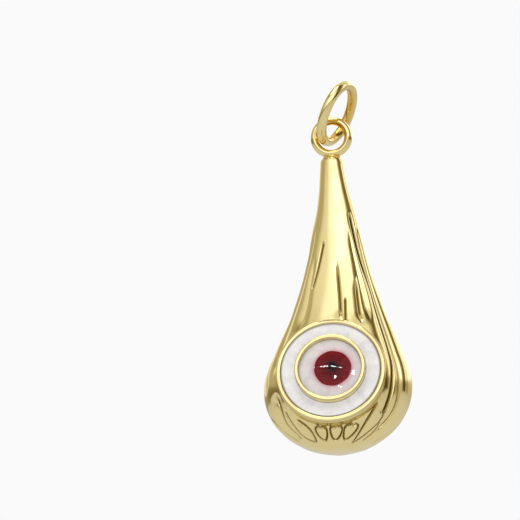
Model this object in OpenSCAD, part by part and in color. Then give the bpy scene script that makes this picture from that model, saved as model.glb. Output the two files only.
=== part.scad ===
// Evil eye ornament: a hollow brass drop, gathered into pleats like a tied pouch, with a round
// enamelled eye let into its front and a loose jump ring in the eyelet at its top. Millimetres.
// The origin is the centre of the eyelet's hole. +Z is up, the eye looks towards -Y and +X is the
// right-hand side of somebody who faces it. Heights named h are measured from the drop's lowest point.

/* [Body] */
// Height of the drop, from its lowest point to the flat top of its neck
body_h = 31.3; // [24:0.1:40]
// Width of the belly
body_w = 15.2; // [14:0.1:20]
// How far the belly's back stands behind the seam
back_depth = 6.3; // [5:0.1:9]
// How far the belly's front stands before the seam
front_depth = 5; // [4.5:0.1:7]
// How full the front is under the eye: 2 is a plain ellipse, more is squarer
front_fullness = 3.3; // [2:0.1:4]
// How slim the panel above the eye is: 1 is as full as the sides
front_slimness = 1.3; // [1:0.1:1.6]
// Height of the widest place
belly_h = 7; // [6:0.1:9]
// Width of the neck at its top
neck_w = 2.4; // [1.8:0.1:3.2]
// Thickness of the two shells
wall = 0.9; // [0.6:0.05:1.2]
// Length of the neck's solid tip, above the hollow
neck_solid = 2.4; // [1.5:0.1:5]

/* [Pleats] */
// Number of pleats all round
pleats = 16; // [12:1:20]
// Depth of the grooves between the pleats
groove_depth = 0.32; // [0.1:0.02:0.5]
// How far the grooves turn round the drop on their way up, in degrees
swirl = 40; // [0:1:60]
// Half the angle of the smooth panel above the eye, in degrees
smooth_half_angle = 38; // [20:1:60]

/* [Eye] */
// Outside diameter of the eye's cup
cup_od = 11.4; // [9:0.1:12]
// Height of the cup's centre
eye_h = 8.3; // [7.6:0.1:10]
// How far the rim's centre stands before the seam
eye_front = 4.7; // [4.4:0.1:7]
// Angle by which the eye looks up, in degrees
eye_tilt = 15; // [8:1:18]
// Depth of the cup, from its rim to the end of its skirt
cup_depth = 3.2; // [2.4:0.1:3.6]
// Width of the rim's flat top
rim_w = 0.6; // [0.4:0.05:0.9]
// Height of the wider band under the rim
band_h = 0.7; // [0.4:0.05:1.2]
// How far the band stands out from the cup's wall
band_step = 0.15; // [0.05:0.05:0.3]
// Thickness of the cup's wall and floor
cup_wall = 0.6; // [0.4:0.05:0.8]
// Depth of the recess that holds the enamel
recess = 0.9; // [0.6:0.05:1.2]
// How far the enamel lies below the rim's top
enamel_drop = 0.12; // [0:0.02:0.3]
// Outside diameter of the raised inner ring
bezel_od = 7.3; // [6.4:0.1:8.6]
// Width of the inner ring's wall
bezel_w = 0.4; // [0.4:0.05:1]
// How far the inner ring stands above the rim's top
bezel_rise = 0.7; // [0.3:0.05:1]
// Thickness of the white enamel within the inner ring
pool_t = 1.05; // [0.8:0.05:1.3]
// Diameter of the iris
iris_d = 3.8; // [2.6:0.1:4.6]
// Thickness of the iris
iris_t = 0.2; // [0.15:0.05:0.3]
// How far the iris lies off the eye's centre, to the right and up
iris_shift = [0.25, 0.05];
// Diameter of the pupil
pupil_d = 1.15; // [0.8:0.05:1.6]
// Thickness of the pupil
pupil_t = 0.15; // [0.1:0.05:0.2]
// How far the clear dome's middle stands above its edge
dome_rise = 0.55; // [0.35:0.05:0.9]

/* [Eyelet] */
// Outside diameter of the eyelet
eyelet_od = 4.4; // [4:0.1:6]
// Width of the eyelet's band, from its hole outwards
eyelet_band = 0.85; // [0.6:0.05:0.95]
// Depth of the eyelet's band, from front to back
eyelet_depth = 1.05; // [0.9:0.05:1.4]
// Diameter of the short stem between the neck and the eyelet
stem_d = 1.55; // [1.1:0.05:1.8]

/* [Jump ring] */
// Outside diameter of the jump ring
ring_od = 7.3; // [6.8:0.1:10]
// Diameter of its wire
ring_wire = 1.05; // [0.8:0.05:1.2]
// Width of the butt joint in the wire
ring_split = 0.05; // [0.03:0.01:0.1]
// Where the butt joint is, from the wire in the eyelet round to the back, in degrees
ring_split_at = 68; // [60:1:300]
// How far the ring leans to the right, in degrees
ring_lean = 26; // [-60:1:60]
// How far the ring's wire turns from straight front-to-back, in degrees
ring_yaw = -12; // [-20:1:20]
// Clearance between the wire and the hole it hangs in
ring_gap = 0.1; // [0.05:0.01:0.2]
// Which way from the hole's centre the wire lies, in degrees from +X
ring_side = 207; // [0:1:359]

/* [Hidden] */
$fn = 96;

// Clearance of the solder joint between the cup and the front shell
solder_gap = 0.03;
// How far a cut runs past the face it opens
cut_past = 0.2;
// Depth by which the stem runs into the eyelet's band
stem_sink = eyelet_band / 2;

hang_h = body_h + eyelet_od / 2;
neck_r = neck_w / 2;
cup_r = cup_od / 2 - band_step;
recess_r = cup_od / 2 - rim_w;
bezel_r = bezel_od / 2;
pool_r = bezel_r - bezel_w;
hole_r = eyelet_od / 2 - eyelet_band;
ring_r = (ring_od - ring_wire) / 2;

// Heights within the eye, measured from the rim's top along the eye's own axis
floor_w = -recess;
pool_w = floor_w + pool_t;
dome_edge_w = bezel_rise - 0.05;
dome_top_w = dome_edge_w + dome_rise;

gold = [0.93, 0.78, 0.42];
enamel_white = [0.93, 0.92, 0.92];

// The outline: a quarter ellipse up to the belly, then one cubic curve up to the neck. Each row is
// [height, share of the belly's half size, the same towards the front, share of the neck's half size].
low_rows = 9;
high_rows = 21;
// The curve's pull upwards at the belly, its pull down at the neck and how wide it still is there
belly_pull = 0.195;
neck_pull = 0.736;
neck_flare = 0.289;

function cubic(p, t) = pow(1 - t, 3) * p[0] + 3 * pow(1 - t, 2) * t * p[1]
    + 3 * (1 - t) * t * t * p[2] + pow(t, 3) * p[3];
function low_row(t, h0) = [belly_h - (belly_h - h0) * cos(90 * t), sin(90 * t),
    pow(1 - pow(cos(90 * t), front_fullness), 1 / front_fullness), 0];
function high_row(t, h1) = let (share = cubic([1, 1, neck_flare, 0], t))
    [belly_h + (h1 - belly_h) * cubic([0, belly_pull, 1 - neck_pull, 1], t), share,
    pow(share, front_slimness), 1 - share];
function outline(h0, h1) = concat([for (i = [1:low_rows]) low_row(i / low_rows, h0)],
    [for (i = [1:high_rows]) high_row(i / high_rows, h1)]);

outer_rows = outline(0, body_h);
hollow_rows = outline(wall, body_h - neck_solid);
hollow_tip_r = neck_r - 0.85;

// The pleats fade out at the neck, at the smooth cap under the belly and over the panel above the eye
function step01(x) = let (c = min(max(x, 0), 1)) c * c * (3 - 2 * c);
function height_fade(h) = step01((h - 1.2) / 3) * (1 - 0.7 * step01((h / body_h - 0.55) / 0.45));
function angle_fade(a) = step01((min(a, 360 - a) - smooth_half_angle) / 22);
function turn(h) = swirl * pow(h / body_h, 1.3);
function groove(a, h) = groove_depth * height_fade(h) * angle_fade(a < 0 ? a + 360 : a)
    * pow(0.5 + 0.5 * cos(pleats * (a + turn(h))), 1.5);

// A point of a row at angle a, which runs from 0 at the front through 90 at +X to 180 at the back
function around(row, a, inset, tip, cut) = let (
    side = row[1] * (body_w / 2 - inset),
    depth = cos(a) > 0 ? row[2] * (front_depth - inset) : row[1] * (back_depth - inset),
    neck = row[3] * tip - cut)
    [sin(a) * (side + neck), -cos(a) * (depth + neck), row[0] - hang_h];
function outer_point(row, a) = around(row, a, 0, neck_r, groove(a, row[0]));
function hollow_point(row, a) = around(row, a, wall, hollow_tip_r, 0);

// Half of the hollow drop, on one side of the seam, from angle a0 to a0 + 180
module half_shell(a0) {
    m = 32;
    k = 12;
    n = len(outer_rows);
    outer = [for (row = outer_rows) for (j = [0:m]) outer_point(row, a0 + 180 * j / m)];
    hollow = [for (row = hollow_rows) for (j = [0:k]) hollow_point(row, a0 + 180 * j / k)];
    function o(i, j) = 2 + i * (m + 1) + j;
    function q(i, j) = 2 + n * (m + 1) + i * (k + 1) + j;
    outer_side = [for (i = [0:n - 2]) for (j = [0:m - 1])
        each [[o(i, j), o(i + 1, j), o(i + 1, j + 1)], [o(i, j), o(i + 1, j + 1), o(i, j + 1)]]];
    hollow_side = [for (i = [0:n - 2]) for (j = [0:k - 1])
        each [[q(i, j), q(i, j + 1), q(i + 1, j + 1)], [q(i, j), q(i + 1, j + 1), q(i + 1, j)]]];
    seam = [for (i = [0:n - 2]) each [
        [o(i, m), o(i + 1, m), q(i + 1, k), q(i, k)],
        [q(i, 0), q(i + 1, 0), o(i + 1, 0), o(i, 0)]]];
    ends = concat(
        [for (j = [0:m - 1]) [0, o(0, j), o(0, j + 1)]],
        [for (j = [0:k - 1]) [1, q(0, j + 1), q(0, j)]],
        [[for (j = [m:-1:0]) o(n - 1, j)], [for (j = [0:k]) q(n - 1, j)]],
        [[0, o(0, m), q(0, k), 1], [0, 1, q(0, 0), o(0, 0)]],
        [[o(n - 1, m), o(n - 1, 0), q(n - 1, 0), q(n - 1, k)]]);
    polyhedron(points = concat([[0, 0, -hang_h], [0, 0, wall - hang_h]], outer, hollow),
        faces = concat(outer_side, hollow_side, seam, ends), convexity = 6);
}

// Places its children in the eye's own frame: the rim's top is at 0 and the eye looks along +Z
module in_eye() {
    translate([0, -eye_front, eye_h - hang_h]) rotate([90 - eye_tilt, 0, 0]) children();
}

module back_shell() {
    color(gold) half_shell(90);
}

module front_shell() {
    color(gold) difference() {
        half_shell(-90);
        in_eye() {
            translate([0, 0, -cup_depth - solder_gap])
                cylinder(r = cup_r + solder_gap, h = cup_depth + 3);
            translate([0, 0, -band_h - solder_gap])
                cylinder(r = cup_od / 2 + solder_gap, h = band_h + 3);
        }
    }
}

module eye_cup() {
    color(gold) in_eye() difference() {
        union() {
            translate([0, 0, -cup_depth]) cylinder(r = cup_r, h = cup_depth);
            translate([0, 0, -band_h]) cylinder(r = cup_od / 2, h = band_h);
        }
        translate([0, 0, floor_w]) cylinder(r = recess_r, h = recess + cut_past);
        translate([0, 0, -cup_depth - cut_past])
            cylinder(r = cup_r - cup_wall, h = cup_depth + cut_past + floor_w - cup_wall);
    }
}

module outer_enamel() {
    color(enamel_white) in_eye() translate([0, 0, floor_w]) difference() {
        cylinder(r = recess_r, h = recess - enamel_drop);
        translate([0, 0, -cut_past]) cylinder(r = bezel_r, h = recess + 2 * cut_past);
    }
}

module inner_bezel() {
    color(gold) in_eye() translate([0, 0, floor_w]) difference() {
        cylinder(r = bezel_r, h = recess + bezel_rise);
        translate([0, 0, -cut_past])
            cylinder(r = pool_r, h = recess + bezel_rise + 2 * cut_past);
    }
}

module inner_enamel() {
    color(enamel_white) in_eye() translate([0, 0, floor_w]) cylinder(r = pool_r, h = pool_t);
}

// A disc of the eye's middle, standing on height w0
module middle_disc(d, w0, t) {
    in_eye() translate([iris_shift[0], iris_shift[1], w0]) cylinder(d = d, h = t);
}

module iris() {
    color([0.5, 0.07, 0.09]) middle_disc(iris_d, pool_w, iris_t);
}

module pupil() {
    color([0.08, 0.05, 0.05]) middle_disc(pupil_d, pool_w + iris_t, pupil_t);
}

// The clear dome is a straight-sided disc with a ball's cap on top, cast over the iris and the pupil
module clear_dome() {
    ball_r = (pool_r * pool_r + dome_rise * dome_rise) / (2 * dome_rise);
    color([0.95, 0.95, 0.97, 0.35]) difference() {
        in_eye() intersection() {
            translate([0, 0, pool_w]) cylinder(r = pool_r, h = dome_top_w - pool_w);
            translate([0, 0, dome_top_w - ball_r]) sphere(r = ball_r, $fn = 192);
        }
        middle_disc(iris_d, pool_w - cut_past, cut_past + iris_t);
        middle_disc(pupil_d, pool_w, iris_t + pupil_t);
    }
}

// Section of the eyelet's band: a bar with round inner and outer edges
module band_section() {
    half = (eyelet_depth - eyelet_band) / 2;
    translate([eyelet_od / 2 - eyelet_band / 2, 0]) union() {
        for (s = [-1, 1]) translate([0, s * half]) circle(d = eyelet_band);
        translate([-eyelet_band / 2, -half]) square([eyelet_band, 2 * half]);
    }
}

module eyelet() {
    color(gold) union() {
        rotate([90, 0, 0]) rotate_extrude() band_section();
        translate([0, 0, -eyelet_od / 2]) cylinder(d = stem_d, h = stem_sink);
    }
}

// The ring's wire crosses the eyelet's hole at ring_pin, where it touches nothing but hangs close
ring_pin_r = hole_r - ring_wire / 2 - ring_gap;
ring_pin = [ring_pin_r * cos(ring_side), 0, ring_pin_r * sin(ring_side)];

module jump_ring() {
    color(gold) translate(ring_pin) rotate([0, 0, ring_yaw]) rotate([0, ring_lean, 0])
        translate([0, 0, ring_r]) rotate([0, 90, 0]) difference() {
            rotate_extrude() translate([ring_r, 0]) circle(d = ring_wire);
            rotate([0, 0, ring_split_at])
                translate([0, -ring_split / 2, -ring_wire]) cube([ring_od, ring_split, 2 * ring_wire]);
        }
}

back_shell();
front_shell();
eye_cup();
outer_enamel();
inner_bezel();
inner_enamel();
iris();
pupil();
clear_dome();
eyelet();
jump_ring();
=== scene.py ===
import math

import bpy
import numpy as np
from mathutils import Matrix, Vector


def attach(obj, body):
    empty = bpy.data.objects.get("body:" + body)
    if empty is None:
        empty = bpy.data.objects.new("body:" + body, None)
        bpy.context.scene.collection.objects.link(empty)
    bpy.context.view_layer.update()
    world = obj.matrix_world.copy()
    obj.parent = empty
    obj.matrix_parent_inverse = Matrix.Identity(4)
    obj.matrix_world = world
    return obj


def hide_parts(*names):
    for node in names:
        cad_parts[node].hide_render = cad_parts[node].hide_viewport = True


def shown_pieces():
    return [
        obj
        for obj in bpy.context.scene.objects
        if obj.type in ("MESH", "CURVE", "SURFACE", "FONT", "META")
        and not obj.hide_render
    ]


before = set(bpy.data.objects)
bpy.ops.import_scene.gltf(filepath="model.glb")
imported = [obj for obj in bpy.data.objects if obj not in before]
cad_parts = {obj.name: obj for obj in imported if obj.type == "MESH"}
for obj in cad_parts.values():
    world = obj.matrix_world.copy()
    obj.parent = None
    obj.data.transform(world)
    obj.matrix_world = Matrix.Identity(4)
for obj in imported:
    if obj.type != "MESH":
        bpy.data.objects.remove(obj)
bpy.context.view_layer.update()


# ---- Gold plate -------------------------------------------------------------------------------
# Polished brass, electroplated with pale yellow gold. The casting under it leaves a faint orange
# peel and a few pits, and polish never reaches the bottoms of the grooves, which stay dull. Their
# darkness is painted shade.

def linear(hex_code):
    """The linear colour of an sRGB hex value: each channel through the sRGB curve, alpha 1."""
    s = np.array([int(hex_code[i:i + 2], 16) / 255 for i in (1, 3, 5)])
    rgb = np.where(s <= 0.04045, s / 12.92, ((s + 0.055) / 1.055) ** 2.4)
    return (*rgb.tolist(), 1.0)


def add(tree, kind, values=None, links=None, **settings):
    """Adds one node: its own settings, its sockets' values, and what is linked into its sockets."""
    node = tree.nodes.new("ShaderNode" + kind)
    for name, value in settings.items():
        setattr(node, name, value)
    for socket, value in (values or {}).items():
        node.inputs[socket].default_value = value
    for socket, source in (links or {}).items():
        output = source.outputs[0] if isinstance(source, bpy.types.Node) else source
        tree.links.new(output, node.inputs[socket])
    return node


def blank_material(name):
    """A new material with an empty node tree, and that tree."""
    material = bpy.data.materials.new(name)
    material.use_nodes = True
    material.node_tree.nodes.clear()
    return material, material.node_tree


GOLD_PALE, GOLD_WARM, GOLD_SHADE, GOLD_AMBER = "#F7E6AA", "#F2DE9B", "#564418", "#DDB140"
PEEL_PER_M, PIT_PER_M, TONE_PER_M = 700, 620, 260  # 1.4 mm ripples, 1.6 mm between pits, 4 mm tones
HAZE_PER_M = 1900                                  # 0.5 mm patches of duller polish
PEEL_M, PIT_M, GROOVE_DULLS = 1.1e-5, 1.5e-5, 0.3    # the ripples' height, the pits' depth, added roughness

# It looks like a bright, faintly rippled mirror, with a painted reflection of gold in gold as a deeper
# yellow where gold faces gold ("amber"), and painted shade as brown lines in the grooves ("groove").
gold_plate, tree = blank_material("gold_plate")
place = add(tree, "TexCoord").outputs["Object"]
# Painted shade in the grooves, which also makes them duller
shade_and_dull = add(tree, "Attribute", attribute_name="groove").outputs["Fac"]
tone = add(tree, "TexNoise", {"Scale": TONE_PER_M, "Detail": 2.0}, {"Vector": place})
skin = add(tree, "MixRGB", {"Color1": linear(GOLD_PALE), "Color2": linear(GOLD_WARM)}, {"Fac": tone})
amber = add(tree, "Attribute", attribute_name="amber").outputs["Fac"]
warm = add(tree, "MixRGB", {"Color2": linear(GOLD_AMBER)}, {"Fac": amber, "Color1": skin})
dark = add(tree, "MixRGB", {"Color2": linear(GOLD_SHADE)}, {"Fac": shade_and_dull, "Color1": warm})
haze = add(tree, "TexNoise", {"Scale": HAZE_PER_M, "Detail": 3.0}, {"Vector": place})
dull = add(tree, "MapRange", {"From Min": 0.3, "From Max": 0.7, "To Min": 0.07, "To Max": 0.15},
           {"Value": haze})
rough = add(tree, "Math", {1: GROOVE_DULLS}, {0: shade_and_dull, 2: dull}, operation="MULTIPLY_ADD")
peel = add(tree, "TexNoise", {"Scale": PEEL_PER_M, "Detail": 2.0, "Roughness": 0.55}, {"Vector": place})
pits = add(tree, "TexVoronoi", {"Scale": PIT_PER_M}, {"Vector": place})
pit = add(tree, "MapRange", {"From Min": 0.02, "From Max": 0.07}, {"Value": pits.outputs["Distance"]},
          interpolation_type="SMOOTHSTEP")
peel_bump = add(tree, "Bump", {"Strength": 1.0, "Distance": PEEL_M}, {"Height": peel})
pit_bump = add(tree, "Bump", {"Strength": 1.0, "Distance": PIT_M}, {"Height": pit, "Normal": peel_bump})
shader = add(tree, "BsdfPrincipled", {"Metallic": 1.0},
             {"Base Color": dark, "Roughness": rough, "Normal": pit_bump})
add(tree, "OutputMaterial", links={"Surface": shader})


# ---- Drop: front_skin and back_skin -----------------------------------------------------------
# Two pleated half shells, cast in brass, soldered along their sides and plated. The pleats gather
# at the neck as in a tied pouch, and twist round it at the back. A smooth panel lies above the eye.

HANG_H = 33.5            # from the lowest point up to the eyelet's hole
BODY_H, BELLY_H = 31.3, 7.0
SIDE, BACK, FRONT, NECK_R = 7.57, 6.27, 4.97, 1.19       # the belly's reach each way, the neck
FULLNESS, SLIMNESS = 3.3, 1.3                            # powers of the front, below and above the belly
BELLY_PULL, NECK_PULL, NECK_FLARE = 0.195, 0.736, 0.289  # the side curve's two pulls and its last width
SHOULDER_H, SHOULDER_IN = 0.8, 0.33
ROWS, COLUMNS = 272, 600
TOP_ROWS = 14            # the last rows, over the shoulder and the neck's flat top


def arc_spaced(path, width, count):
    """Points of a polyline spaced evenly along it, its first width coordinates giving the length."""
    run = np.linalg.norm(np.diff(path[:, :width], axis=0), axis=1)
    length = np.concatenate([[0], np.cumsum(run)])
    at = np.linspace(0, length[-1], count)
    return np.stack([np.interp(at, length, column) for column in path.T], axis=1)


def outline_rows(count):
    """Rows of the drop: (radius, height, belly share, front share, neck share, inset).

    A quarter ellipse up to the belly, whose front is a fuller superellipse, then one cubic curve
    up to the neck, and a quarter ellipse over the shoulder to the middle of the neck's flat top.
    """
    t = np.linspace(0, 1, 240)
    zero = 0 * t
    low = np.stack([BELLY_H * (1 - np.cos(np.pi / 2 * t)), np.sin(np.pi / 2 * t),
                    (1 - np.cos(np.pi / 2 * t) ** FULLNESS) ** (1 / FULLNESS), zero, zero], axis=1)
    s = 1 - t
    share = s ** 3 + 3 * s * s * t + NECK_FLARE * 3 * s * t * t
    rise = BELLY_PULL * 3 * s * s * t + (1 - NECK_PULL) * 3 * s * t * t + t ** 3
    high = np.stack([BELLY_H + (BODY_H - BELLY_H) * rise, share, share ** SLIMNESS, 1 - share, zero],
                    axis=1)
    high = high[(high[:, 0] > BELLY_H) & (high[:, 0] < BODY_H - SHOULDER_H)]
    turn = np.linspace(0, np.pi / 2, 12)[1:]
    held = np.repeat(high[-1:, 1:4], len(turn), axis=0)
    shoulder = np.column_stack([BODY_H - SHOULDER_H * (1 - np.sin(turn)), held,
                                 SHOULDER_IN * (1 - np.cos(turn))])
    middle = shoulder[-1:].copy()
    middle[:, 4] = held[0, 0] * SIDE + held[0, 2] * NECK_R
    rows = np.concatenate([low, high, shoulder, middle])
    radius = rows[:, 1] * SIDE + rows[:, 3] * NECK_R - rows[:, 4]
    return arc_spaced(np.column_stack([radius, rows]), 2, count)


def skin_points(rows, angle):
    """Points of the smooth drop: each row's half ellipses, front and back, at angles from the front."""
    h, belly, front, neck, inset = (rows[:, i] for i in range(1, 6))
    sine, cosine = np.sin(angle), np.cos(angle)
    depth = np.where(cosine > 0, front * FRONT, belly * BACK)
    loose = neck * NECK_R - inset
    x = sine * (belly * SIDE + loose)
    y = -cosine * np.where(inset > NECK_R, 0, depth + loose)
    return np.stack([x, y, h - HANG_H + 0 * x], axis=-1)


def grid_normals(grid):
    """Unit normals of a grid whose last column repeats its first: the cross product of its slopes."""
    wide = np.concatenate([grid[:, -2:-1], grid, grid[:, 1:2]], axis=1)
    across = wide[:, 2:] - wide[:, :-2]
    along = np.gradient(grid, axis=0)
    normal = np.cross(across, along)
    normal[0], normal[-1] = (0, 0, -1), (0, 0, 1)
    return normal / np.maximum(np.linalg.norm(normal, axis=-1, keepdims=True), 1e-12)


def soft_step(x):
    """0 below 0, 1 above 1, and a smooth cubic between."""
    c = np.clip(x, 0, 1)
    return c * c * (3 - 2 * c)


# Each crease is (kind, course), and its course is degrees round from the front and millimetres up.
CREASES = [
    # The front panel above the eye, from left to right
    ("line", [(-24, 22.1), (-28, 20.5), (-32, 18.5), (-36, 17.0)]),
    ("soft", [(-42, 21.0), (-42, 18.2), (-39, 16.3), (-38, 14.4), (-42, 11.9)]),
    ("fold", [(5, 20.4), (6, 18.9), (7, 17.5), (8, 15.8), (8, 13.4)]),
    ("line", [(15, 16.0), (14, 15.0), (13, 13.2)]),
    ("fold", [(38, 19.0), (35, 17.2), (32, 15.4), (31, 13.0)]),
    ("soft", [(36, 24.0), (40, 21.5), (42, 18.9), (42, 15.7), (43, 13.0)]),
    # The long pleats to the eye's right, which run on under it
    ("deep", [(49, 25.5), (56, 20.0), (65, 17.3), (60, 14.1), (58, 12.0), (57, 10.0), (54, 7.8),
              (52, 5.6), (50, 3.4)]),
    ("fold", [(66, 24.0), (72, 18.0), (68, 14.6), (64, 12.2), (63, 9.6), (63, 6.6), (64, 4.2),
              (60, 2.6), (54, 1.7)]),
    # Fine lines at the foot, right of the middle
    ("line", [(52, 3.0), (54, 1.9), (48, 1.0)]),
    ("line", [(99, 3.1), (84, 1.8), (74, 1.0)]),
    ("line", [(40, 5.0), (35, 3.2), (33, 2.0), (33, 0.7)]),
    ("line", [(52, 4.2), (51, 2.8), (46, 1.9), (38, 1.0), (32, 0.7)]),
    # Three petals under the eye
    ("line", [(20, 2.6), (27, 2.65), (29, 2.3), (26, 1.5), (19, 0.95), (14, 1.3), (13, 2.2),
              (15, 2.55), (23, 2.65)]),
    ("line", [(3, 2.5), (9, 2.5), (12, 2.1), (10, 1.4), (5, 1.0), (-1, 1.2), (-3, 2.1), (-1, 2.45),
              (6, 2.5)]),
    ("line", [(-12, 2.5), (-18, 2.5), (-20, 2.0), (-18, 1.3), (-12, 0.95), (-7, 1.4), (-6, 2.1),
              (-8, 2.45), (-15, 2.5)]),
    # Creases at the foot, left of the middle
    ("line", [(-46, 4.4), (-44, 2.5), (-41, 1.4), (-30, 0.85), (-25, 1.3), (-25, 2.3), (-36, 3.4)]),
    ("deep", [(-54, 6.4), (-51, 4.9), (-53, 3.7), (-55, 2.9), (-52, 2.0), (-48, 1.3)]),
    ("line", [(-87, 4.5), (-74, 3.0), (-70, 2.0), (-59, 1.1)]),
    # The left flank
    ("soft", [(-58, 24.5), (-63, 20.0), (-66, 15.5), (-63, 11.0), (-58, 7.5)]),
    ("fold", [(-78, 23.0), (-82, 18.5), (-80, 13.5), (-74, 9.5), (-72, 6.0)]),
    ("soft", [(-90, 27.0), (-105, 21.0), (-117, 15.5), (-118, 10.0), (-114, 5.2)]),
    # The back, whose pleats twist round the drop as they rise
    ("fold", [(108, 27.5), (113, 21.0), (113, 17.5)]),
    ("fold", [(124, 24.5), (146, 20.6), (152, 17.7), (157, 15.8), (161, 14.0), (168, 10.7), (172, 8.1),
              (176, 5.6), (180, 3.6)]),
    ("fold", [(176, 16.6), (183, 15.4), (189, 13.2), (194, 9.6), (195, 6.8), (196, 4.6), (194, 3.2)]),
    ("fold", [(134, 26.6), (156, 23.7), (178, 21.7), (190, 19.9), (199, 16.9), (206, 14.6), (212, 13.2),
              (217, 10.6), (215, 7.4), (216, 4.3)]),
    ("fold", [(128, 31.0), (150, 29.6), (164, 27.6), (175, 25.9), (190, 24.2), (203, 22.5), (215, 20.6),
              (218, 17.6), (221, 14.6), (220, 11.8), (224, 8.4), (223, 5.4)]),
    ("fold", [(196, 24.9), (212, 22.6), (232, 20.9), (246, 18.8), (246, 15.4), (254, 12.8), (249, 10.0),
              (243, 7.0), (237, 4.2), (229, 2.3)]),
    ("fold", [(168, 30.9), (184, 29.2), (216, 26.8), (232, 24.8), (252, 22.4), (262, 19.6)]),
    ("fold", [(208, 30.7), (232, 28.8), (252, 26.6), (268, 24.2)]),
    ("line", [(150, 26.0), (166, 24.6), (180, 23.4), (192, 21.9)]),
    ("fold", [(112, 19.0), (122, 15.4), (137, 12.8), (146, 10.7), (152, 7.6), (155, 5.0), (158, 3.3),
              (161, 2.0)]),
    ("fold", [(92, 16.0), (100, 12.8), (118, 9.6), (128, 7.0), (134, 5.2), (138, 3.0), (144, 1.5)]),
    # The foot of the back: loops, and the slots between the pleats' ends
    ("line", [(154, 3.2), (157, 2.2), (162, 1.7), (170, 1.5), (180, 1.4), (187, 1.6), (191, 2.1),
              (194, 3.3)]),
    ("line", [(194, 1.7), (201, 2.1), (209, 2.7), (213, 3.5), (215, 4.6)]),
    ("line", [(217, 2.5), (225, 3.0), (231, 4.2), (233, 5.6)]),
    ("line", [(228, 2.1), (240, 2.7), (250, 4.0), (254, 6.0)]),
    ("line", [(108, 4.3), (118, 2.4), (125, 1.1)]),
    ("slot", [(175, 5.9), (177, 4.9), (180, 3.5)]),
    ("slot", [(154, 5.6), (157, 4.3), (159, 3.2)]),
    ("slot", [(134, 5.6), (138, 4.2), (141, 2.9)]),
    ("slot", [(119, 5.6), (124, 4.0), (130, 2.7)]),
]
# Kind: depth of the valley, its reach to either side, depth and width of the cut, fades at its ends
CREASE_KINDS = {
    "fold": (0.36, (0.90, 1.70), 0.14, 0.105, (2.4, 1.6)),
    "line": (0.18, (0.75, 0.75), 0.150, 0.085, (0.3, 0.3)),
    "soft": (0.30, (1.30, 1.70), 0.00, 0.100, (2.5, 2.5)),
    "deep": (0.36, (0.80, 1.40), 0.20, 0.120, (1.2, 0.8)),
    "slot": (0.18, (0.60, 0.60), 0.30, 0.200, (0.9, 0.5)),
}
FARTHEST = 2.4                # beyond the reach of every crease
SLIM_R, SLIM_LEAST = 5.0, 0.36  # where the drop is under this radius its valleys shrink, to this share


def crease_depths(points, normals, rows):
    """Depths of the valleys and of the sharp cuts at each point, from its distance to each crease.

    A crease's course is smoothed by cutting its corners and laid on the drop. Its valley rises as a
    parabola to either side, so that the lobes between bulge, and is narrower where the drop is slim.
    Its cut is a bell curve. The valleys join by the cube root of the sum of their cubes.
    """
    valleys, cuts = np.zeros(len(points)), np.zeros(len(points))
    sides = rows[:-TOP_ROWS]
    for kind, course in CREASES:
        deep, reach, cut, width, fades = CREASE_KINDS[kind]
        path = np.array(course, float)
        for _ in range(3):
            near, far = 0.75 * path[:-1] + 0.25 * path[1:], 0.25 * path[:-1] + 0.75 * path[1:]
            path = np.concatenate([path[:1], np.stack([near, far], 1).reshape(-1, 2), path[-1:]])
        at = np.stack([np.interp(path[:, 1], sides[:, 1], column) for column in sides.T], axis=1)
        line = skin_points(at, np.radians(path[:, 0]))
        touched = np.all((points > line.min(0) - FARTHEST) & (points < line.max(0) + FARTHEST), axis=1)
        p, a, step = points[touched][:, None], line[:-1], np.diff(line, axis=0)
        size = np.linalg.norm(step, axis=1)
        t = np.clip(np.sum((p - a) * step, -1) / size ** 2, 0, 1)
        off = p - a - t[..., None] * step
        gap = np.linalg.norm(off, axis=-1)
        best = gap.argmin(axis=1)
        pick = np.arange(len(best))
        gap, off = gap[pick, best], off[pick, best]
        run = np.concatenate([[0], np.cumsum(size)])
        along = run[best] + t[pick, best] * size[best]
        fade = soft_step(along / fades[0]) * soft_step((run[-1] - along) / fades[1])
        side = np.sum(off * np.cross(normals[touched], step[best]), -1)
        spread = np.where(side > 0, reach[0], reach[1])
        slim = np.clip(np.hypot(*points[touched, :2].T) / SLIM_R, SLIM_LEAST, 1)
        valleys[touched] += (deep * slim * fade * np.clip(1 - gap / (spread * slim), 0, 1) ** 2) ** 3
        cuts[touched] = np.maximum(cuts[touched], cut * fade * np.exp(-(gap / width) ** 2))
    return np.cbrt(valleys), cuts


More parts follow.
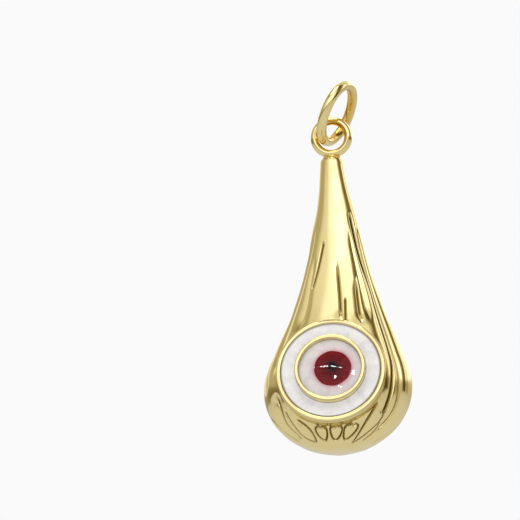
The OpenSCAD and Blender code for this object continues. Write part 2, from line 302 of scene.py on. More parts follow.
def surface(name, grid, poles=False, values=None, normals=None):
    """A closed mesh over a grid of points in millimetres, and its object.

    The columns run round and meet. The rows run round and meet too, or with poles each end row is
    one point. The faces are turned round if the volume that they enclose comes out negative.
    """
    count, wide = grid.shape[:2]
    index = np.arange(count * wide).reshape(count, wide)
    if poles:
        index[0], index[-1] = index[0, 0], index[-1, 0]
    low = index[:-1] if poles else index
    high = index[1:] if poles else np.roll(index, -1, axis=0)
    quads = np.stack([low, np.roll(low, -1, 1), np.roll(high, -1, 1), high], -1).reshape(-1, 4)
    used, quads = np.unique(quads, return_inverse=True)
    quads = quads.reshape(-1, 4)
    points = grid.reshape(-1, 3)[used]
    p, q, r, s = (points[quads[:, i]] for i in range(4))
    volume = np.sum(np.cross(p, q) * r) + np.sum(np.cross(p, r) * s)
    if volume < 0:
        quads = quads[:, ::-1]
    first = (quads[:, 0] == quads[:, 1]) | (quads[:, 2] == quads[:, 3])
    side = (quads[:, 1] == quads[:, 2]) | (quads[:, 0] == quads[:, 3])
    single = first | side
    fans = [list(dict.fromkeys(face)) for face in quads[single].tolist()]
    mesh = bpy.data.meshes.new(name)
    mesh.from_pydata((points * 0.001).tolist(), [], quads[~single].tolist() + fans)
    mesh.polygons.foreach_set("use_smooth", np.ones(len(mesh.polygons), bool))
    for key, field in (values or {}).items():
        layer = mesh.attributes.new(key, "FLOAT", "POINT")
        layer.data.foreach_set("value", field.reshape(-1)[used].astype(np.float32))
    if normals is not None:
        mesh.normals_split_custom_set_from_vertices(normals.reshape(-1, 3)[used].tolist())
    piece = bpy.data.objects.new(name, mesh)
    bpy.context.scene.collection.objects.link(piece)
    return piece


def finish_piece(piece, material, body, slot, *nodes):
    """Gives a piece its material, the body it rides on and the CAD nodes it stands for; slot is not used."""
    piece.data.materials.append(material)
    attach(piece, body)
    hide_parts(*nodes)


# The eye's own frame: EYE_AT is the middle of the rim's top, and the eye looks along EYE_OUT
EYE_TILT = math.radians(15)
EYE_FRONT, EYE_H = 4.7, 8.3
EYE_AT = np.array([0, -EYE_FRONT, EYE_H - HANG_H])
EYE_RIGHT = np.array([1.0, 0, 0])
EYE_UP = np.array([0, math.sin(EYE_TILT), math.cos(EYE_TILT)])
EYE_OUT = np.array([0, -math.cos(EYE_TILT), math.sin(EYE_TILT)])
CUP_R = 5.55

rows = outline_rows(ROWS)
turn = np.radians(np.linspace(-90, 270, COLUMNS + 1))
base = skin_points(rows[:, :, None], turn)
outward = grid_normals(base)
valley, cut = crease_depths(base.reshape(-1, 3), outward.reshape(-1, 3), rows)
valley, cut = valley.reshape(base.shape[:2]), cut.reshape(base.shape[:2])

# Hand polish, stroked up and down, leaves the casting gently uneven: long waves, 2 to 4 mm across
WAVE_DEPTH, WAVE_PEAK = 0.018, 1.9
x, y, z = np.moveaxis(base, -1, 0)
waves = (np.sin(2.1 * x + 0.16 * z + 0.6) * np.sin(1.6 * y - 0.3 * z)
         + 0.6 * np.sin(3.4 * x - 0.22 * z + 2.0) * np.cos(1.9 * y + 0.2 * z)
         + 0.3 * np.sin(0.8 * z + 1.2 * x) * np.cos(1.7 * x - 0.5 * y))
uneven = WAVE_DEPTH * (waves + WAVE_PEAK)

# The pleats stand plump from 8 to 29 mm up and at the belly's flanks, the creases fade out at the
# drop's two ends, and the casting bows a little to the right
PLUMP, FLANK_SHARE, BOW = 0.2, 0.9, 0.28
up_drop = rows[:, 1:2]
ends = soft_step(up_drop / 1.2) * soft_step((BODY_H - up_drop) / 0.5)
high_part = soft_step((up_drop - 8) / 5) * soft_step((29 - up_drop) / 6)
flanks = FLANK_SHARE * np.sin(turn) ** 2 * soft_step(up_drop / 5) * soft_step((13 - up_drop) / 5)
plump = PLUMP * np.maximum(high_part, flanks)
skin_grid = base - outward * ((valley + cut) * ends + uneven - plump)[..., None]
skin_grid[..., 0] += BOW * soft_step(up_drop / 16) * soft_step((BODY_H - up_drop) / 7)

# Under the eye's cup the skin dips into the cup's floor, out of sight
DIP_TO, DIP_EDGE, DIP_FADE = -1.25, 0.08, 0.3
from_eye = skin_grid - EYE_AT
height = from_eye @ EYE_OUT
across = np.linalg.norm(from_eye - height[..., None] * EYE_OUT, axis=-1)
dip = soft_step((CUP_R - DIP_EDGE - across) / DIP_FADE) * (np.cos(turn) > 0)
skin_grid = skin_grid + (dip * (np.minimum(height, DIP_TO) - height))[..., None] * EYE_OUT

# Painted shade darkens the cuts, and fills those that are 0.14 mm deep and more
SHADE_DEPTH, SHADE_MOST = 0.14, 0.9
skin_normals = grid_normals(skin_grid)
darkness = np.clip(cut / SHADE_DEPTH, 0, 1) ** 1.2 * SHADE_MOST * ends
half = COLUMNS // 2
for name, node, columns in (("front_skin", "front_shell", slice(0, half + 1)),
                            ("back_skin", "back_shell", slice(half, COLUMNS + 1))):
    piece = surface(name, skin_grid[:, columns], poles=True, values={"groove": darkness[:, columns]},
                    normals=skin_normals[:, columns])
    finish_piece(piece, gold_plate, "drop", "gold_plate", node)


# ---- Eye: cup and inner ring ------------------------------------------------------------------
# The cup is a turned brass box with a stepped, rounded rim, soldered into the front of the drop,
# and the inner ring is a band soldered on its floor. Both are plated with the rest.

RIM_R, POCKET_R, WALL_IN = 5.7, 5.1, 4.95  # the rim, the enamel's pocket, the wall below its floor
FLOOR_TOP, FLOOR_UNDER, CUP_LOW = -0.9, -1.5, -3.2
RIM_ROUND = 0.27
CUP_TURNS = 192


def bent(corners, step, closed=False):
    """A profile through corners of (radius, height, rounding), its points about step apart.

    The runs are straight, and each corner is a parabola tangent to both runs, rounding long.
    """
    c = np.array(corners, float)
    before, after = np.roll(c, 1, axis=0), np.roll(c, -1, axis=0)
    if not closed:
        before[0], after[-1] = c[0], c[-1]
    into, out = c[:, :2] - before[:, :2], after[:, :2] - c[:, :2]
    into /= np.maximum(np.linalg.norm(into, axis=1, keepdims=True), 1e-9)
    out /= np.maximum(np.linalg.norm(out, axis=1, keepdims=True), 1e-9)
    start, end = c[:, :2] - into * c[:, 2:], c[:, :2] + out * c[:, 2:]
    t = np.linspace(0, 1, 12)[None, :, None]
    curve = start[:, None] * (1 - t) ** 2 + c[:, None, :2] * 2 * t * (1 - t) + end[:, None] * t * t
    path = curve.reshape(-1, 2)
    if closed:
        path = np.concatenate([path, path[:1]])
    length = np.linalg.norm(np.diff(path, axis=0), axis=1).sum()
    spaced = arc_spaced(path, 2, int(length / step) + 2)
    return spaced[:-1] if closed else spaced


def turned(profile, turns, swell=0.0, centre=(0.0, 0.0)):
    """A profile of (radius, height) carried round the eye's axis, its radius grown by swell."""
    angle = np.linspace(0, 2 * np.pi, turns, endpoint=False)
    r = profile[:, :1] * (1 + swell * np.ones(turns))
    right, up = r * np.cos(angle) + centre[0], r * np.sin(angle) + centre[1]
    return (EYE_AT + right[..., None] * EYE_RIGHT + up[..., None] * EYE_UP
            + profile[:, 1][:, None, None] * EYE_OUT)


cup_profile = bent([(0, FLOOR_UNDER, 0), (WALL_IN, FLOOR_UNDER, 0.1), (WALL_IN, CUP_LOW, 0.05),
                    (CUP_R, CUP_LOW, 0.05), (CUP_R, -0.74, 0.05), (RIM_R, -0.66, 0.06),
                    (RIM_R, 0, RIM_ROUND), (POCKET_R + 0.02, 0, RIM_ROUND),
                    (POCKET_R, FLOOR_TOP, 0.05), (0, FLOOR_TOP, 0)], 0.06)
# Painted shade darkens the gold under the rim's band, down into its joint with the skin, and down the recess
cup_r, cup_h = cup_profile.T
cup_shade = np.maximum(0.8 * np.exp(-((cup_h + 0.72) / 0.12) ** 2) + 0.3 * soft_step((-0.3 - cup_h) / 0.5),
                  0.8 * soft_step((-0.03 - cup_h) / 0.1) * (cup_r < POCKET_R + 0.1))
# A painted dark reflection lines the rim's outer rounding
cup_shade = np.maximum(cup_shade, 0.5 * np.exp(-(np.hypot(cup_r - RIM_R, cup_h + 0.17) / 0.07) ** 2))
cup = surface("cup", turned(cup_profile, CUP_TURNS), poles=True,
              values={"groove": np.repeat(cup_shade[:, None], CUP_TURNS, 1)})
finish_piece(cup, gold_plate, "drop", "gold_plate", "eye_cup")

RING_IN, RING_OUT, RING_RISE = 3.25, 3.65, 0.7
ring_profile = bent([(RING_IN, FLOOR_TOP, 0.03), (RING_OUT, FLOOR_TOP, 0.03),
                     (RING_OUT, RING_RISE, 0.13), (RING_IN, RING_RISE, 0.13)], 0.03, closed=True)
ring_r, ring_h = np.split(ring_profile, 2, axis=1)
# Painted shade darkens the ring towards its foot, and a painted dark reflection lines its outer top rounding
ring_corner = np.hypot(ring_r - RING_OUT, ring_h - 0.6)
ring_shade = np.maximum(0.75 * soft_step((0.2 - ring_h) / 0.4),
                       0.55 * np.exp(-(ring_corner / 0.07) ** 2))
raised_ring = surface("raised_ring", turned(ring_profile, CUP_TURNS),
                      values={"groove": np.repeat(ring_shade, CUP_TURNS, 1)})
finish_piece(raised_ring, gold_plate, "drop", "gold_plate", "inner_bezel")


# ---- Eye: white enamel ------------------------------------------------------------------------
# Pearly white cold enamel, poured into the cup in two pools and cured glossy. It wets the gold and
# climbs a little at its edges, its pearl lies in soft clouds, and red bleeds out round the iris.

WHITE_CLEAR, WHITE_PEARL, WHITE_BLEED, EDGE_SHADE = "#F7F5F2", "#E9E6E8", "#CB6C78", "#857A62"
CLOUD_PER_M, FLECK_PER_M = 900, 3200  # 1.1 mm clouds, 0.3 mm flecks

# It looks softly glossy and faintly clouded, pink beside the iris ("bleed"), and painted shade
# lines it along the gold ("edge").
white_enamel, tree = blank_material("white_enamel")
place = add(tree, "TexCoord").outputs["Object"]
cloud = add(tree, "TexNoise", {"Scale": CLOUD_PER_M, "Detail": 4.0, "Distortion": 0.6}, {"Vector": place})
fleck = add(tree, "TexNoise", {"Scale": FLECK_PER_M, "Detail": 2.0}, {"Vector": place})
pearl = add(tree, "MapRange", {"From Min": 0.38, "From Max": 0.66}, {"Value": cloud})
white = add(tree, "MixRGB", {"Color1": linear(WHITE_CLEAR), "Color2": linear(WHITE_PEARL)}, {"Fac": pearl})
bleed = add(tree, "Attribute", attribute_name="bleed").outputs["Fac"]
tinted = add(tree, "MixRGB", {"Color2": linear(WHITE_BLEED)}, {"Fac": bleed, "Color1": white})
edge = add(tree, "Attribute", attribute_name="edge").outputs["Fac"]
edged = add(tree, "MixRGB", {"Color2": linear(EDGE_SHADE)}, {"Fac": edge, "Color1": tinted})
gloss = add(tree, "MapRange", {"From Min": 0.3, "From Max": 0.7, "To Min": 0.16, "To Max": 0.34},
            {"Value": fleck})
ripple = add(tree, "Bump", {"Strength": 1.0, "Distance": 1.4e-5}, {"Height": fleck})
swirl = add(tree, "Bump", {"Strength": 1.0, "Distance": 3.0e-5}, {"Height": cloud, "Normal": ripple})
shader = add(tree, "BsdfPrincipled", {"IOR": 1.5},
             {"Base Color": edged, "Roughness": gloss, "Normal": swirl})
add(tree, "OutputMaterial", links={"Surface": shader})

IRIS_AT, IRIS_R, POOL_TOP = (0.25, 0.05), 1.9, 0.15
WHITE_IN, WHITE_OUT = RING_OUT - 0.05, POCKET_R + 0.05  # a little into the gold at both edges

outer_profile = bent([(WHITE_IN, FLOOR_TOP, 0.03), (WHITE_OUT, FLOOR_TOP, 0.03),
                      (WHITE_OUT, -0.06, 0.02), (4.95, -0.17, 0.12), (4.4, -0.15, 0.3),
                      (3.83, -0.17, 0.12), (WHITE_IN, -0.02, 0.02)], 0.05, closed=True)
# Painted shade lines the enamel along the gold, 0.05 to 0.07 mm wide
inner_shade = np.exp(-(np.clip(outer_profile[:, :1] - RING_OUT, 0, 9) / 0.05) ** 2)
outer_shade = np.exp(-(np.clip(POCKET_R - outer_profile[:, :1], 0, 9) / 0.07) ** 2)
white_ring = surface("white_ring", turned(outer_profile, CUP_TURNS),
                     values={"edge": np.repeat(0.8 * np.maximum(inner_shade, outer_shade), CUP_TURNS, 1)})
finish_piece(white_ring, white_enamel, "drop", "white_enamel", "outer_enamel")

POOL_R = RING_IN + 0.03
pool_profile = bent([(0, FLOOR_TOP, 0), (POOL_R, FLOOR_TOP, 0.03), (POOL_R, POOL_TOP, 0.05),
                     (0, POOL_TOP, 0)], 0.05)
pool_grid = turned(pool_profile, CUP_TURNS)
from_iris = pool_grid - EYE_AT - IRIS_AT[0] * EYE_RIGHT - IRIS_AT[1] * EYE_UP
reach = np.hypot(from_iris @ EYE_RIGHT, from_iris @ EYE_UP)
around_iris = 0.9 * np.exp(-np.clip(reach - IRIS_R, 0, 9) / 0.3)
# Painted shade lines the pool along the inner ring too
pool_shade = 0.6 * np.exp(-(np.clip(RING_IN - pool_profile[:, :1], 0, 9) / 0.06) ** 2)
white_pool = surface("white_pool", pool_grid, poles=True,
                     values={"bleed": around_iris, "edge": np.repeat(pool_shade, CUP_TURNS, 1)})
finish_piece(white_pool, white_enamel, "drop", "white_enamel", "inner_enamel")


# ---- Eye: iris and pupil ----------------------------------------------------------------------
# Two drops of coloured enamel set by hand on the white: dark red, denser towards its middle, and
# on it a small black one that ran out into fine rays before it set.

RED_EDGE, RED_DEEP, BLACK, BLACK_MOTTLE = "#861318", "#420709", "#0E0608", "#2A1216"
STREAK_PER_M, GRAIN_PER_M = 2600, 3000  # 0.4 mm streaks in the red, 0.3 mm grain in the black
STREAK_SHARE, DROP_RIPPLE_M, DROP_TURNS = 0.45, 0.8e-5, 160

# Red enamel looks a deep, clear red that darkens inwards. Its gloss is that of the dome over it, so
# it has no mirror of its own, and nor has the black.
red_enamel, tree = blank_material("red_enamel")
place = add(tree, "TexCoord").outputs["Object"]
depth = add(tree, "Attribute", attribute_name="middle").outputs["Fac"]
streak = add(tree, "TexNoise", {"Scale": STREAK_PER_M, "Detail": 3.0}, {"Vector": place})
mixed = add(tree, "Math", {1: STREAK_SHARE}, {0: streak, 2: depth}, operation="MULTIPLY_ADD")
density = add(tree, "MapRange", {"From Min": 0.35, "From Max": 1.15}, {"Value": mixed})
red = add(tree, "MixRGB", {"Color1": linear(RED_EDGE), "Color2": linear(RED_DEEP)}, {"Fac": density})
ripple = add(tree, "Bump", {"Strength": 1.0, "Distance": DROP_RIPPLE_M}, {"Height": streak})
shader = add(tree, "BsdfPrincipled", {"Roughness": 0.3, "Specular IOR Level": 0.0},
             {"Base Color": red, "Normal": ripple})
add(tree, "OutputMaterial", links={"Surface": shader})

# Black enamel looks almost black, mottled with a dark red-brown in a fine grain
black_enamel, tree = blank_material("black_enamel")
place = add(tree, "TexCoord").outputs["Object"]
grain = add(tree, "TexNoise", {"Scale": GRAIN_PER_M, "Detail": 2.0}, {"Vector": place})
black = add(tree, "MixRGB", {"Color1": linear(BLACK), "Color2": linear(BLACK_MOTTLE)}, {"Fac": grain})
ripple = add(tree, "Bump", {"Strength": 1.0, "Distance": DROP_RIPPLE_M}, {"Height": grain})
shader = add(tree, "BsdfPrincipled", {"Roughness": 0.28, "Specular IOR Level": 0.0},
             {"Base Color": black, "Normal": ripple})
add(tree, "OutputMaterial", links={"Surface": shader})

about = np.linspace(0, 2 * np.pi, DROP_TURNS, endpoint=False)
iris_profile = bent([(0, POOL_TOP - 0.1, 0), (IRIS_R, POOL_TOP - 0.1, 0.02), (IRIS_R, POOL_TOP + 0.16, 0.12),
                     (0, POOL_TOP + 0.2, 0)], 0.04)
iris_edge = 0.012 * np.sin(3 * about + 1) + 0.008 * np.sin(8 * about)
iris_middle = np.repeat(1 - iris_profile[:, :1] / IRIS_R, DROP_TURNS, axis=1)
iris = surface("iris_drop", turned(iris_profile, DROP_TURNS, iris_edge, IRIS_AT), poles=True,
               values={"middle": iris_middle})
finish_piece(iris, red_enamel, "drop", "red_enamel", "iris")

PUPIL_AT, PUPIL_R = (IRIS_AT[0] + 0.01, IRIS_AT[1] + 0.16), 0.42
pupil_profile = bent([(0, POOL_TOP + 0.1, 0), (PUPIL_R, POOL_TOP + 0.1, 0.02),
                      (PUPIL_R, POOL_TOP + 0.27, 0.1), (0, POOL_TOP + 0.35, 0)], 0.03)
# Each ray: its share of the radius, its direction and its sharpness, as a power of the cosine
rays = 0.06 * np.sin(9 * about) + 0.04 * np.sin(14 * about + 1)
for share, direction, power in ((0.30, 1.9, 6), (0.55, -1.25, 8), (0.20, 0.4, 18), (0.15, 3.3, 18)):
    rays += share * np.clip(np.cos(about - direction), 0, 1) ** power
pupil = surface("pupil_drop", turned(pupil_profile, DROP_TURNS, rays, PUPIL_AT), poles=True)
finish_piece(pupil, black_enamel, "drop", "black_enamel", "pupil")


# ---- Eye: clear dome --------------------------------------------------------------------------
# Clear resin, dripped over the iris inside the inner ring, where surface tension domes it.

DOME_R, DOME_EDGE, DOME_RISE = RING_IN + 0.02, 0.5, 0.55
GLAZE_IOR, GLAZE_ROUGHNESS = 1.27, 0.015

# It looks wet and clear: what lies under it shows as it is, and its skin mirrors the lamps. Its
# index is below a real resin's 1.5, so that the tent's reflection doesn't veil the red.
clear_resin, tree = blank_material("clear_resin")
glaze = add(tree, "Fresnel", {"IOR": GLAZE_IOR})
resin = add(tree, "BsdfTransparent", {"Color": linear("#FFFFFF")})
mirror = add(tree, "BsdfGlossy", {"Color": linear("#FFFFFF"), "Roughness": GLAZE_ROUGHNESS})
shader = add(tree, "MixShader", links={0: glaze, 1: resin, 2: mirror})
add(tree, "OutputMaterial", links={"Surface": shader})

# A cap of a ball, as high as DOME_RISE over its edge, on a short straight wall
ball_r = (DOME_R ** 2 + DOME_RISE ** 2) / (2 * DOME_RISE)
out = np.linspace(DOME_R - 0.06, 0, 60)
cap = np.stack([out, DOME_EDGE + DOME_RISE - ball_r + np.sqrt(ball_r ** 2 - out ** 2)], axis=1)
under = np.stack([np.linspace(0, DOME_R, 12), np.full(12, POOL_TOP - 0.06)], axis=1)
dome_profile = np.concatenate([under, [[DOME_R, DOME_EDGE - 0.03]], cap])
dome = surface("dome", turned(dome_profile, CUP_TURNS), poles=True)
finish_piece(dome, clear_resin, "drop", "clear_resin", "clear_dome")


# ---- Eyelet -----------------------------------------------------------------------------------
# A round eyelet cast in brass, whose stem flares into the neck and is soldered to it.

EYELET_R, EYELET_BAND, EYELET_DEPTH = 1.775, 0.425, 0.525
EYELET_STEPS, EYELET_TURNS, STEM_TURNS = 144, 48, 96
# The painted reflection of gold in gold is at most this deep a yellow
AMBER_MOST = 0.75


def swept(path, sides, ups, radii, turns):
    """A tube along a path: an ellipse in each point's own two directions, with its two half widths."""
    angle = np.linspace(0, 2 * np.pi, turns, endpoint=False)
    c, s = np.cos(angle)[None, :, None], np.sin(angle)[None, :, None]
    return (path[:, None] + c * radii[:, None, :1] * sides[:, None]
            + s * radii[:, None, 1:] * ups[:, None])


def inner_amber(turns, power):
    """How deep the gold looks round a tube, most where it faces the middle of its own loop: a painted
    reflection of gold in gold.

    The cosine of the girth's angle from that side, 0 where it is negative, to a power.
    """
    girth = np.linspace(0, 2 * np.pi, turns, endpoint=False)
    return AMBER_MOST * np.clip(-np.cos(girth), 0, 1) ** power


way = np.linspace(0, 2 * np.pi, EYELET_STEPS, endpoint=False)
radial = np.stack([np.cos(way), 0 * way, np.sin(way)], axis=1)
along_y = np.tile([0.0, 1.0, 0.0], (len(way), 1))
thick = np.tile([EYELET_BAND, EYELET_DEPTH], (len(way), 1)) * (1 + 0.012 * np.sin(5 * way + 1))[:, None]
eyelet = surface("eyelet_loop", swept(EYELET_R * radial, radial, along_y, thick, EYELET_TURNS),
                 values={"amber": np.tile(inner_amber(EYELET_TURNS, 0.7), (len(way), 1))})
finish_piece(eyelet, gold_plate, "drop", "gold_plate", "eyelet")

# The stem: (radius, height), flattened from front to back towards its top to meet the eyelet
stem_profile = np.array([(0, -2.8), (0.8, -2.8), (0.9, -2.4), (0.92, -2.2), (0.88, -2.08), (0.81, -1.96),
                         (0.72, -1.86), (0.6, -1.8), (0, -1.76)])
fine = arc_spaced(stem_profile, 2, 70)
spin = np.linspace(0, 2 * np.pi, STEM_TURNS, endpoint=False)
flat = 1 - 0.4 * soft_step((fine[:, 1:] + 2.3) / 0.4)
stem_grid = np.stack([fine[:, :1] * np.cos(spin), flat * fine[:, :1] * np.sin(spin),
                      fine[:, 1:] + 0 * spin], axis=-1)
# The whole stem is a deeper yellow, at 0.5
stem_amber = np.full((len(fine), STEM_TURNS), 0.5)
stem = surface("stem", stem_grid, poles=True, values={"amber": stem_amber})
stem.data.materials.append(gold_plate)
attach(stem, "drop")


# ---- Jump ring --------------------------------------------------------------------------------
# Round brass wire, coiled and sawn into an open ring, plated and bent shut. Its cut ends meet in a
# butt joint and stand a hair out of line.

WIRE_R, RING_R = 0.525, 3.125
RING_LEAN, RING_YAW, JOINT_AT = math.radians(26), math.radians(-12), math.radians(68)
HANG_GAP, HANG_AT = 0.1, math.radians(207)  # the wire's clearance in the eyelet's hole, and its place
HANG_R = EYELET_R - EYELET_BAND - WIRE_R - HANG_GAP
RING_PIN = HANG_R * np.array([math.cos(HANG_AT), 0, math.sin(HANG_AT)])
SAW_CUT, SLIP = 0.05, 0.035  # the gap at the joint, and how far its end stands out of line
JOINT_HALF = SAW_CUT / 2 / RING_R
WIRE_STEPS, WIRE_TURNS = 260, 56

lean = np.array([[math.cos(RING_LEAN), 0, math.sin(RING_LEAN)], [0, 1, 0],
                 [-math.sin(RING_LEAN), 0, math.cos(RING_LEAN)]])
yaw = np.array([[math.cos(RING_YAW), -math.sin(RING_YAW), 0],
                [math.sin(RING_YAW), math.cos(RING_YAW), 0], [0, 0, 1]])
set_in = yaw @ lean

# The ring's own plane is Y and Z before it leans, and its angle runs from straight down towards +Y.
# Each cut end is a flat face with its edge broken over 0.06 mm
span = np.linspace(0, 1, WIRE_STEPS)
bevel = np.array([0, 0, 0.03, 0.06])
bevel_share = bevel / (2 * np.pi * RING_R)
share = np.concatenate([bevel_share, span[4:-4], 1 - bevel_share[::-1]])
girth = np.concatenate([[0, 0.9, 0.98, 1], np.ones(len(share) - 8), [1, 0.98, 0.9, 0]])
way = JOINT_AT + JOINT_HALF + share * (2 * np.pi - 2 * JOINT_HALF)
radial = np.stack([0 * way, np.sin(way), -np.cos(way)], axis=1)
across_ring = np.tile([1.0, 0.0, 0.0], (len(way), 1))
slip = SLIP * soft_step((share - 0.9) / 0.1)[:, None]
path = (RING_R - slip) * radial + slip * across_ring + np.array([0, 0, RING_R])
radii = WIRE_R * girth[:, None] * np.ones(2)
ring_grid = swept(path, radial, across_ring, radii, WIRE_TURNS) @ set_in.T + RING_PIN
jump_ring = surface("jump_ring_wire", ring_grid, poles=True,
                    values={"amber": np.tile(inner_amber(WIRE_TURNS, 0.8), (len(way), 1))})
finish_piece(jump_ring, gold_plate, "ring", "gold_plate", "jump_ring")


# ---- Studio -----------------------------------------------------------------------------------
# A white tent, bright from 11 to 41 degrees up, dimmer and warmer elsewhere, with dark seams at its
# sides. It shows only in mirrors: the backdrop and what lights the enamel are an even white. Small
# lamps draw highlights on one kind of piece each, and a pale table lies under the hanging pendant.

BACKDROP, AMBIENT, TENT_GAIN = 0.955, 0.86, 1.38
GREEN_POWER, BLUE_POWER = 1.14, 1.55  # over 1, so that what is dim is also warm
FOLD_SCALE = 2.2
# Brightness by the sine of the angle up, and by degrees round from the eye's front to its right
TENT_BANDS = [(-1.0, 0.52), (-0.10, 0.50), (-0.03, 0.42), (0.09, 0.40), (0.135, 0.46), (0.19, 0.94),
              (0.50, 0.98), (0.66, 0.90), (0.74, 0.60), (1.0, 0.60)]
TENT_SEAMS = [(-180, 1.0), (-158, 0.98), (-146, 0.70), (-124, 0.62), (-110, 0.40), (-90, 0.36),
              (-70, 0.38), (-56, 0.58), (-34, 0.66), (-22, 0.95), (46, 1.0), (55, 0.5), (64, 0.16),
              (86, 0.12), (97, 0.40), (103, 0.85), (113, 0.90), (122, 0.5), (132, 1.0), (180, 1.0)]

world = bpy.data.worlds.new("tent")
bpy.context.scene.world = world
world.use_nodes = True
tree = world.node_tree
tree.nodes.clear()
way = add(tree, "TexCoord").outputs["Generated"]
axes = add(tree, "SeparateXYZ", links={0: way})
lift = add(tree, "MapRange", {"From Min": -1.0, "From Max": 1.0}, {"Value": axes.outputs["Z"]})
bands = add(tree, "ValToRGB", links={"Fac": lift})
depth = add(tree, "Math", {1: -1.0}, {0: axes.outputs["Y"]}, operation="MULTIPLY")
wide = add(tree, "Math", {}, {0: axes.outputs["X"], 1: depth}, operation="ARCTAN2")
seams = add(tree, "MapRange", {"From Min": -math.pi, "From Max": math.pi}, {"Value": wide})
seam_ramp = add(tree, "ValToRGB", links={"Fac": seams})
for node, most, stops in ((bands, 1, TENT_BANDS), (seam_ramp, 180, TENT_SEAMS)):
    elements = node.color_ramp.elements
    while len(elements) < len(stops):
        elements.new(0.5)
    for element, (place, level) in zip(elements, stops):
        element.position = (place + most) / (2 * most)
        element.color = (level, level, level, 1)
mixed = add(tree, "Math", {}, {0: bands, 1: seam_ramp}, operation="MULTIPLY")
cloth = add(tree, "TexNoise", {"Scale": FOLD_SCALE, "Detail": 2.0}, {"Vector": way})
folds = add(tree, "MapRange", {"From Min": 0.35, "From Max": 0.65, "To Min": 0.97, "To Max": 1.03},
            {"Value": cloth})
shaped = add(tree, "Math", {}, {0: mixed, 1: folds}, operation="MULTIPLY")
gain = add(tree, "Math", {1: TENT_GAIN}, {0: shaped}, operation="MULTIPLY")
green = add(tree, "Math", {1: GREEN_POWER}, {0: gain}, operation="POWER")
blue = add(tree, "Math", {1: BLUE_POWER}, {0: gain}, operation="POWER")
warmth = add(tree, "CombineColor", links={"Red": gain, "Green": green, "Blue": blue})
ray = add(tree, "LightPath")
mirror = add(tree, "Math", {}, {0: ray.outputs["Is Glossy Ray"], 1: ray.outputs["Is Transmission Ray"]},
             operation="MAXIMUM")
soft = add(tree, "MixRGB", {"Color1": (AMBIENT, AMBIENT, AMBIENT, 1)}, {"Fac": mirror, "Color2": warmth})
seen = add(tree, "MixRGB", {"Color2": (BACKDROP, BACKDROP, BACKDROP, 1)},
           {"Fac": ray.outputs["Is Camera Ray"], "Color1": soft})
light = add(tree, "Background", {"Strength": 1.0}, {"Color": seen})
add(tree, "OutputWorld", links={"Surface": light})

LAMP_AWAY, LIT_AT = 0.5, Vector((0, 0, -0.02))  # metres


def lamp(name, direction, size, radiance):
    """A rectangular lamp that faces the pendant. Its power is its radiance by pi by its area."""
    data = bpy.data.lights.new(name, "AREA")
    data.shape = "RECTANGLE"
    data.size, data.size_y = size
    data.energy = radiance * math.pi * size[0] * size[1]
    piece = bpy.data.objects.new(name, data)
    bpy.context.scene.collection.objects.link(piece)
    back = Vector(direction).normalized()
    at = LIT_AT + back * LAMP_AWAY
    piece.matrix_world = Matrix.Translation(at) @ back.to_track_quat("Z", "Y").to_matrix().to_4x4()
    piece.visible_camera = False
    return piece


def light_only(source, *pieces):
    """Lets a lamp light only these pieces."""
    lit = bpy.data.collections.new("lit_by_" + source.name)
    for piece in pieces:
        lit.objects.link(piece)
    source.light_linking.receiver_collection = lit


lamp("soft_key", (-0.1, -0.25, 0.96), (0.3, 0.3), 2.0)

# The bare tube draws the streak of light across the dome, and the three small lamps its sparks
DOME_LAMPS = [("tube", (-0.150, -0.795, 0.5878), (0.28, 0.009), 60.0),
              ("near_spark", (0.0, -0.9215, 0.3875), (0.018, 0.03), 70.0),
              ("far_spark", (0.345, -0.8128, 0.4695), (0.035, 0.04), 90.0),
              ("low_spark", (0.0873, -0.978, 0.187), (0.03, 0.02), 70.0)]
for name, direction, size, radiance in DOME_LAMPS:
    light_only(lamp(name, direction, size, radiance), dome)

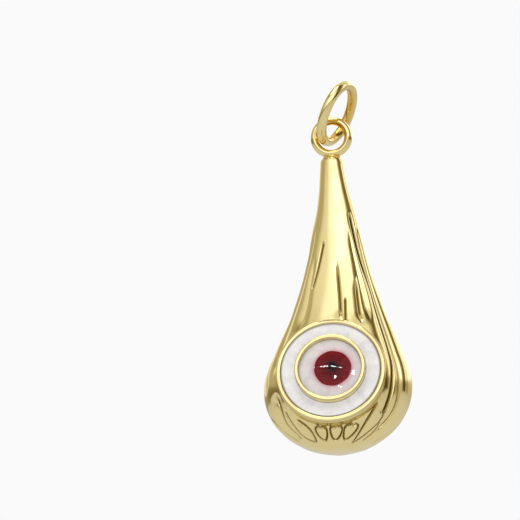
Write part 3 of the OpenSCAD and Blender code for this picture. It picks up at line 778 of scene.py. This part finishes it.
# The white under the dome gets a soft fill, and the gold a weak strip from its front
light_only(lamp("eye_fill", (0.05, -0.99, 0.1), (0.3, 0.3), 1.7), white_pool)
golden = [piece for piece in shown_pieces() if gold_plate.name in piece.data.materials]
light_only(lamp("front_strip", (0.24, -0.896, 0.375), (0.34, 0.085), 0.5), *golden)

# The table's paint is a little greyer where the gold mirrors it
TABLE_SIZE, TABLE_Z = 3.0, -0.09
bpy.ops.mesh.primitive_plane_add(size=TABLE_SIZE, location=(0, 0, TABLE_Z))
table = bpy.context.active_object
table.name = "table"
pale, tree = blank_material("pale_table")
glossy = add(tree, "LightPath").outputs["Is Glossy Ray"]
paint = add(tree, "MixRGB", {"Color1": linear("#FBFBFB"), "Color2": linear("#D8D8D8")}, {"Fac": glossy})
shader = add(tree, "BsdfDiffuse", links={"Color": paint})
add(tree, "OutputMaterial", links={"Surface": shader})
table.data.materials.append(pale)


# ---- Camera -----------------------------------------------------------------------------------
# Level with the eye's right-hand side and a little below it, turned by the pendant's slight lean.

AZIMUTH, ELEVATION, ROLL = math.radians(8.8), math.radians(-10), math.radians(1.0)
DISTANCE, FRAME_WIDTH, SENSOR = 0.350, 0.0545, 36
EYELET_RIGHT, EYELET_UP = 0.00748, 0.01285  # where the eyelet lies off the picture's middle

right = np.array([math.cos(AZIMUTH), math.sin(AZIMUTH), 0])
look = np.array([-math.sin(AZIMUTH) * math.cos(ELEVATION), math.cos(AZIMUTH) * math.cos(ELEVATION),
                 -math.sin(ELEVATION)])
up = np.cross(right, look)
rolled_right = right * math.cos(ROLL) - up * math.sin(ROLL)
rolled_up = up * math.cos(ROLL) + right * math.sin(ROLL)
target = -(EYELET_RIGHT * rolled_right + EYELET_UP * rolled_up)
at = target - DISTANCE * look
camera_data = bpy.data.cameras.new("camera")
camera_data.sensor_width = SENSOR
camera_data.lens = SENSOR * DISTANCE / FRAME_WIDTH
camera_data.clip_start, camera_data.clip_end = 0.01, 10
camera = bpy.data.objects.new("camera", camera_data)
bpy.context.scene.collection.objects.link(camera)
columns = np.column_stack([rolled_right, rolled_up, -look, at])
camera.matrix_world = Matrix(columns.tolist() + [[0, 0, 0, 1]])
bpy.context.scene.camera = camera
bpy.context.scene.view_settings.view_transform = "Standard"
